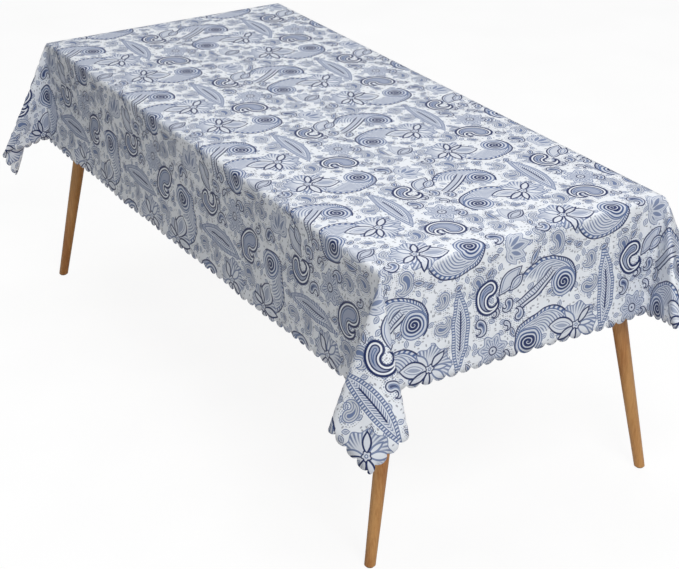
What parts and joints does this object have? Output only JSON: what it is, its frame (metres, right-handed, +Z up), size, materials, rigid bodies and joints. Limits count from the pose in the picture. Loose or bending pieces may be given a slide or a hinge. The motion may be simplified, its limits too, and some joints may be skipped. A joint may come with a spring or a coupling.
{
  "type": "dining table with tablecloth",
  "caption": "Rectangular dining table on splayed round wooden legs, under a scalloped paisley tablecloth that drapes over every side and lifts off.",
  "frame": {"origin": "on the floor, under the middle of the table", "axes": "+X along the table's length, +Z up; -Y is the long side called front"},
  "size_m": [2.128, 1.088, 0.75],
  "materials": {
    "printed_cloth": "smooth plain weave, printed in blues on white, satin",
    "table_top_wood": "clear matt lacquer on veneer",
    "rail_wood": "planed, unfinished",
    "leg_wood": "satin lacquer",
    "steel": "zinc plated",
    "nylon": "matte"
  },
  "bodies": {
    "table": {"table_top": "table_top_wood", "rail_front": "rail_wood", "rail_back": "rail_wood", "rail_left": "rail_wood", "rail_right": "rail_wood", "cross_rail": "rail_wood", "block_front_left": "rail_wood", "block_front_right": "rail_wood", "block_back_left": "rail_wood", "block_back_right": "rail_wood", "plate_front_left": "steel", "plate_front_right": "steel", "plate_back_left": "steel", "plate_back_right": "steel", "hanger_bolt_front_left": "steel", "hanger_bolt_front_right": "steel", "hanger_bolt_back_left": "steel", "hanger_bolt_back_right": "steel", "leg_front_left": "leg_wood", "leg_front_right": "leg_wood", "leg_back_left": "leg_wood", "leg_back_right": "leg_wood", "glide_front_left": "nylon", "glide_front_right": "nylon", "glide_back_left": "nylon", "glide_back_right": "nylon", "rail_screws": "steel", "block_screws": "steel", "plate_screws": "steel", "end_rail_screws": "steel", "cross_rail_screws": "steel"},
    "cloth": {"tablecloth": "printed_cloth"}
  },
  "joints": [
    {"name": "cloth_lift", "type": "slide", "parent": "table", "child": "cloth", "axis": [0, 0, 1], "range_m": [0, 0.45]}
  ]
}
